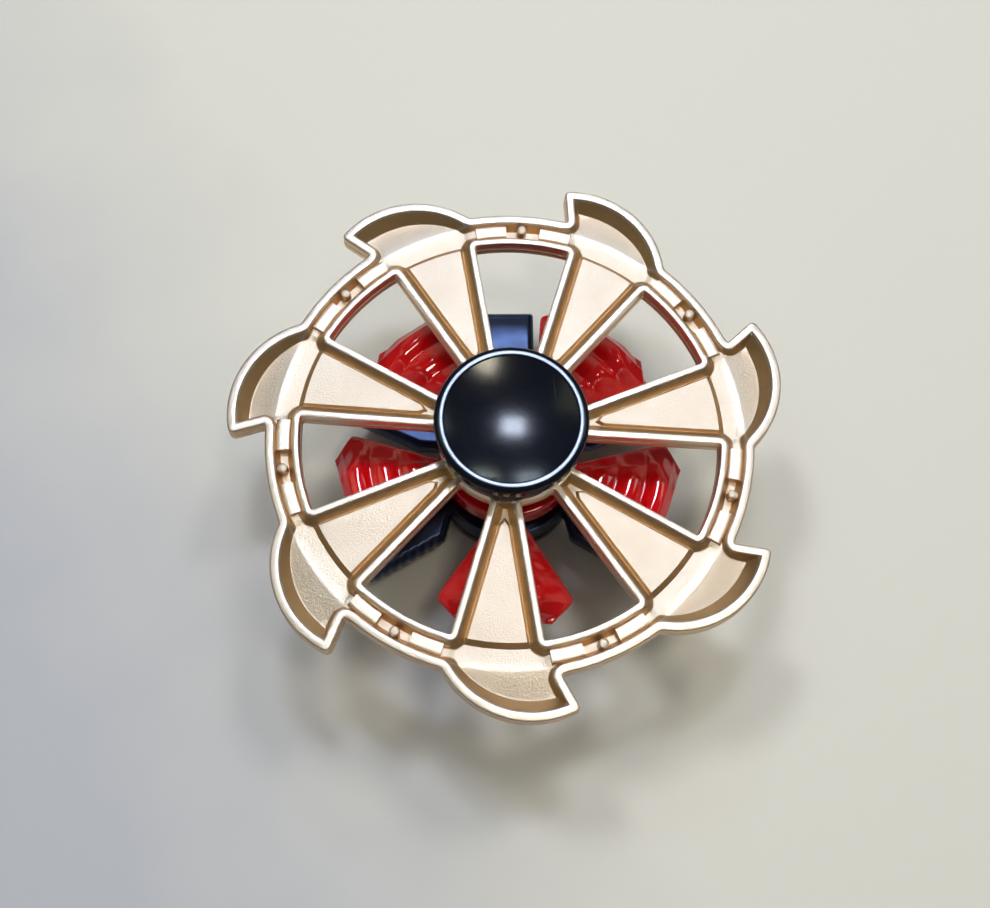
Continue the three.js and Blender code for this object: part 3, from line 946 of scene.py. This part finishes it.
def black_rotor(material):
    shell = Shell()
    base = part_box("black_rotor")[0].z / MM
    section = [(SEAT, base + 0.15), (SEAT + 0.15, base), (BLACK_HUB - 0.3, base), (BLACK_HUB, base + 0.3),
               (BLACK_HUB, BLACK_TOP - 0.3), (BLACK_HUB - 0.1, BLACK_TOP - 0.09),
               (BLACK_HUB - 0.3, BLACK_TOP), (SEAT + 0.15, BLACK_TOP), (SEAT, BLACK_TOP - 0.15)]
    turned_shell(shell, softened(section, 0.1))
    for k in range(ARMS):
        arm_shell(shell, k % 2 == 0, ARM_ANGLE + k * 360 / ARMS)
    mesh = shell.mesh("black_rotor_arms", weld=1e-4)
    finish_piece("black_rotor_arms", mesh, "black_spinning", "black_rotor", material)


# ------------------------------------------------------------------ caps, axle and bearings
CAP_RADIUS = 9.55
CAP_THICKNESS = 2.86
LIP_INNER, LIP_OUTER = 8.35, 8.95
DISH_DEPTH, DISH_EDGE = 1.3, 0.14  # below the lip, in the middle and just inside the lip
BOSS_RADIUS, BOSS_DROP = 4.2, 1.2
STUD_HOLE, STUD_HOLE_DEPTH = 2.06, 0.9
BORE_RADIUS = 3.175
LAND_INNER, LAND_OUTER = 4.3, 5.2  # the bearing rings' faces on either side of the balls
BALL_CIRCLE = 4.7625
GROOVE_RADIUS = 0.83
OUTSIDE_RADIUS, SHIELD_SEAT = 6.35, 5.85
AXLE_RADIUS, THREAD_RADIUS = 3.12, 2.0


def cap_section(top):
    """Half section of the upper cap, from the stud's hole out and up to the dish."""
    under = top - CAP_THICKNESS
    boss = under - BOSS_DROP
    waist = (CAP_RADIUS, under + 1.2)
    section = [(0, under + STUD_HOLE_DEPTH), (STUD_HOLE, under + STUD_HOLE_DEPTH), (STUD_HOLE, boss + 0.1),
               (STUD_HOLE + 0.14, boss), (BOSS_RADIUS - 0.1, boss), (BOSS_RADIUS, boss + 0.1),
               (BOSS_RADIUS, under)]
    section += fillet((BOSS_RADIUS, under), (CAP_RADIUS - 0.1, under), waist, 0.95, 8)
    section += fillet(waist, (CAP_RADIUS + 0.02, top - 0.15), (LIP_OUTER, top), 0.62, 10)
    section += [(LIP_OUTER + 0.04, top - 0.05), (LIP_OUTER - 0.06, top), (LIP_INNER + 0.06, top),
                (LIP_INNER - 0.03, top - 0.05)]
    for r in np.linspace(LIP_INNER - 0.12, 0.3, 40):
        section.append((r, top - DISH_DEPTH + (DISH_DEPTH - DISH_EDGE) * (r / LIP_INNER) ** 2))
    section.append((0, top - DISH_DEPTH))
    return section


def finger_cap(name, upper, node, material):
    low, high = (corner.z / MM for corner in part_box(node))
    section = cap_section(high)
    if not upper:
        section = [(r, low + high - z) for r, z in reversed(section)]
    shell = Shell()
    turned_shell(shell, section, 160)
    finish_piece(name, shell.mesh(name), "core", node, material)


def bearing_pieces(prefix, ring_steel, shield_steel):
    low, high = (corner.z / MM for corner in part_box(f"{prefix}_inner_ring"))
    middle = (low + high) / 2
    half = (high - low) / 2

    def about_middle(section):
        return [(r, middle + z) for r, z in section]

    groove = [(z, math.sqrt(GROOVE_RADIUS ** 2 - z * z)) for z in np.linspace(-0.66, 0.66, 9)]
    inner_groove = [(BALL_CIRCLE - reach, z) for z, reach in groove]
    inner = [(BORE_RADIUS, -half), (LAND_INNER, -half), (LAND_INNER, -0.72), *inner_groove,
             (LAND_INNER, 0.72), (LAND_INNER, half), (BORE_RADIUS, half)]
    turned_piece(f"{prefix}_bearing_inner_race", about_middle(inner), "core", f"{prefix}_inner_ring",
                 ring_steel)
    outer_groove = [(BALL_CIRCLE + reach, z) for z, reach in reversed(groove)]
    outer = [(OUTSIDE_RADIUS, -half), (OUTSIDE_RADIUS, half), (SHIELD_SEAT, half), (SHIELD_SEAT, 1.8),
             (LAND_OUTER, 1.8), (LAND_OUTER, 0.74), *outer_groove, (LAND_OUTER, -0.74), (LAND_OUTER, -1.8),
             (SHIELD_SEAT, -1.8), (SHIELD_SEAT, -half)]
    turned_piece(f"{prefix}_bearing_outer_race", about_middle(outer), f"{prefix}_spinning",
                 f"{prefix}_outer_ring", ring_steel)
    for side, sign in (("upper", 1), ("lower", -1)):
        shield = [(4.42, 1.86), (5.8, 1.86), (5.8, 2.06), (5.3, 2.06), (5.2, 2.0), (4.7, 2.0), (4.6, 2.06),
                  (4.42, 2.06)]
        shield = [(r, sign * z) for r, z in shield][::sign]
        turned_piece(f"{prefix}_bearing_{side}_cover", about_middle(shield), f"{prefix}_spinning",
                     f"{prefix}_{side}_shield", shield_steel, soft=0.04)


def axle_and_spacers(steel):
    low, high = (corner.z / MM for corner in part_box("axle_stud"))
    cap_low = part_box("bottom_finger_cap")[1].z / MM
    cap_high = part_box("top_finger_cap")[0].z / MM
    end, edge = THREAD_RADIUS - 0.2, AXLE_RADIUS - 0.12
    rod = [(0, low), (end, low), (THREAD_RADIUS, low + 0.2), (THREAD_RADIUS, cap_low - 0.06),
           (edge, cap_low - 0.06), (AXLE_RADIUS, cap_low + 0.06), (AXLE_RADIUS, cap_high - 0.06),
           (edge, cap_high + 0.06), (THREAD_RADIUS, cap_high + 0.06), (THREAD_RADIUS, high - 0.2),
           (end, high), (0, high)]
    turned_piece("axle_rod", rod, "core", "axle_stud", steel, soft=0.05)
    for node in ("lower_spacer", "upper_spacer"):
        low, high = (corner.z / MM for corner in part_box(node))
        waist = (low + high) / 2
        sleeve = [(3.2, low), (4.2, low), (4.2, waist - 0.35), (4.05, waist - 0.2), (4.05, waist + 0.2),
                  (4.2, waist + 0.35), (4.2, high), (3.2, high)]
        turned_piece(f"{node}_sleeve", sleeve, "core", node, steel, soft=0.1)


def kept_nodes(balls, brass):
    """The bearings' balls and cages keep their CAD solids, with a finer surface and a material."""
    for name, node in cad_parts.items():
        if "_ball_" not in name:
            continue
        node.modifiers.new("joined", "WELD").merge_threshold = 0.0005 * MM
        if "_ball_cage" in name:
            material = brass
            bevel = node.modifiers.new("broken_edges", "BEVEL")
            bevel.width = 0.06 * MM
            bevel.segments = 2
            bevel.limit_method = "ANGLE"
        else:
            material = balls
            smooth = node.modifiers.new("round", "SUBSURF")
            smooth.levels = smooth.render_levels = 2
            node.data.shade_smooth()
        node.data.materials.clear()
        node.data.materials.append(material)


# ------------------------------------------------------------------ floor, light and camera
def table_surface():
    """A pale table with painted shade: darker and cooler grey towards one side, lighter and warmer towards
    the other, with random patches.
    """
    n = Nodes("pale_table")
    across = n.add("ShaderNodeVectorMath", operation="DOT_PRODUCT")
    across.inputs[1].default_value = (0.86, 0.51, 0)
    n.feed(n.where, across, 0)
    # Painted shade: a gradient across the table, with random noise patches, sets a darker, cooler grey on one
    # side.
    painted_shade_drift = n.math("ADD", n.math("MULTIPLY", across.outputs["Value"], 22.0), n.noise(30, 3, 0.5))
    tone = n.remap(painted_shade_drift, -1.0, 0.3, 0, 1)
    n.feed(n.mix(tone, (0.41, 0.415, 0.455), (0.60, 0.58, 0.53)), n.shader, "Base Color")
    n.feed(n.remap(n.noise(900, 4), 0.3, 0.7, 0.5, 0.62), n.shader, "Roughness")
    n.feed(n.bump(n.noise(1300, 4), 0.12, 0.00008), n.shader, "Normal")
    mesh = bpy.data.meshes.new("table_top")
    half = 0.9
    corners = [(-half, -half), (half, -half), (half, half), (-half, half)]
    mesh.from_pydata([(x, y, cad_box[0].z) for x, y in corners], [], [(0, 1, 2, 3)])
    mesh.materials.append(n.material)
    floor = bpy.data.objects.new("table_top", mesh)
    bpy.context.collection.objects.link(floor)


def softbox(name, toward, distance, size, power, color, mirrored=True):
    """A soft rectangular light that faces the origin. Unless it is mirrored, no reflection shows it."""
    light = bpy.data.lights.new(name, "AREA")
    light.shape = "RECTANGLE"
    light.size, light.size_y = size
    light.energy = power
    light.color = color
    lamp = bpy.data.objects.new(name, light)
    direction = Vector(toward).normalized()
    lamp.location = direction * distance
    lamp.rotation_euler = direction.to_track_quat("Z", "Y").to_euler()
    lamp.visible_glossy = mirrored
    bpy.context.collection.objects.link(lamp)


def surroundings():
    world = bpy.data.worlds.new("room")
    world.use_nodes = True
    tree = world.node_tree
    sky = tree.nodes["Background"]
    sky.inputs["Color"].default_value = (0.93, 0.90, 0.82, 1)
    sky.inputs["Strength"].default_value = 0.09
    bpy.context.scene.world = world
    softbox("window_light", (0.02, 0.37, 0.93), 0.9, (0.13, 0.11), 1.9, (0.72, 0.82, 1.0))
    softbox("ceiling_light", (0.20, -0.07, 0.98), 0.9, (0.12, 0.12), 1.15, (1.0, 0.93, 0.74))
    softbox("far_left_light", (-0.06, 0.70, 0.71), 0.9, (0.12, 0.08), 0.4, (0.75, 0.88, 1.0))
    softbox("far_right_light", (0.18, 0.70, 0.70), 0.9, (0.12, 0.08), 0.3, (0.85, 1.0, 0.92))
    softbox("side_light", (0.55, 0.30, 0.75), 0.9, (0.3, 0.2), 0.4, (0.88, 1.0, 0.92))
    softbox("left_glow", (-0.50, 0.18, 0.85), 0.9, (0.30, 0.42), 0.34, (0.92, 1.0, 0.62))
    softbox("room_fill", (0.0, 0.1, 1.0), 1.2, (1.8, 1.8), 4.4, (0.98, 0.98, 0.97), mirrored=False)
    softbox("left_fill", (-0.30, 0.42, 0.85), 1.0, (0.15, 0.15), 3.1, (0.93, 0.96, 1.0), mirrored=False)
    softbox("right_fill", (0.28, 0.44, 0.85), 1.0, (0.16, 0.16), 2.4, (1.0, 0.96, 0.86), mirrored=False)


CAMERA_AT = Vector((-4.66, -51.24, 143.82))  # from the wheel's top plane on the axis, in millimetres
CAMERA_LEAN = 18.598  # degrees off straight down
CAMERA_TURN = -3.209  # direction of the line that the camera leans about, in degrees
CAMERA_LENS = 44.12


def camera():
    data = bpy.data.cameras.new("view")
    data.lens = CAMERA_LENS
    data.sensor_width = 36
    data.clip_start = 0.01
    eye = bpy.data.objects.new("view", data)
    axis = Vector((math.cos(math.radians(CAMERA_TURN)), math.sin(math.radians(CAMERA_TURN)), 0))
    place = (CAMERA_AT + Vector((0, 0, WHEEL_TOP))) * MM
    eye.matrix_world = Matrix.Translation(place) @ Matrix.Rotation(math.radians(CAMERA_LEAN), 4, axis)
    bpy.context.collection.objects.link(eye)
    bpy.context.scene.camera = eye


# ------------------------------------------------------------------ the scene
colour_management()
camera()
gold_wheel(champagne_gold())
red_rotor(candy_red())
black_rotor(gun_black())
cap_finish = black_cap()
finger_cap("upper_dished_cap", True, "top_finger_cap", cap_finish)
finger_cap("lower_dished_cap", False, "bottom_finger_cap", cap_finish)
plain_steel = turned_metal("plain_steel", (0.52, 0.53, 0.55), 0.22, 0.36, 9000)
bearing_steel = turned_metal("bearing_steel", (0.66, 0.67, 0.69), 0.1, 0.2, 14000)
cage_brass = turned_metal("cage_brass", (0.62, 0.45, 0.2), 0.28, 0.42, 7000)
axle_and_spacers(plain_steel)
for colour in ("gold", "red", "black"):
    bearing_pieces(colour, bearing_steel, plain_steel)
kept_nodes(bearing_steel, cage_brass)
table_surface()
surroundings()
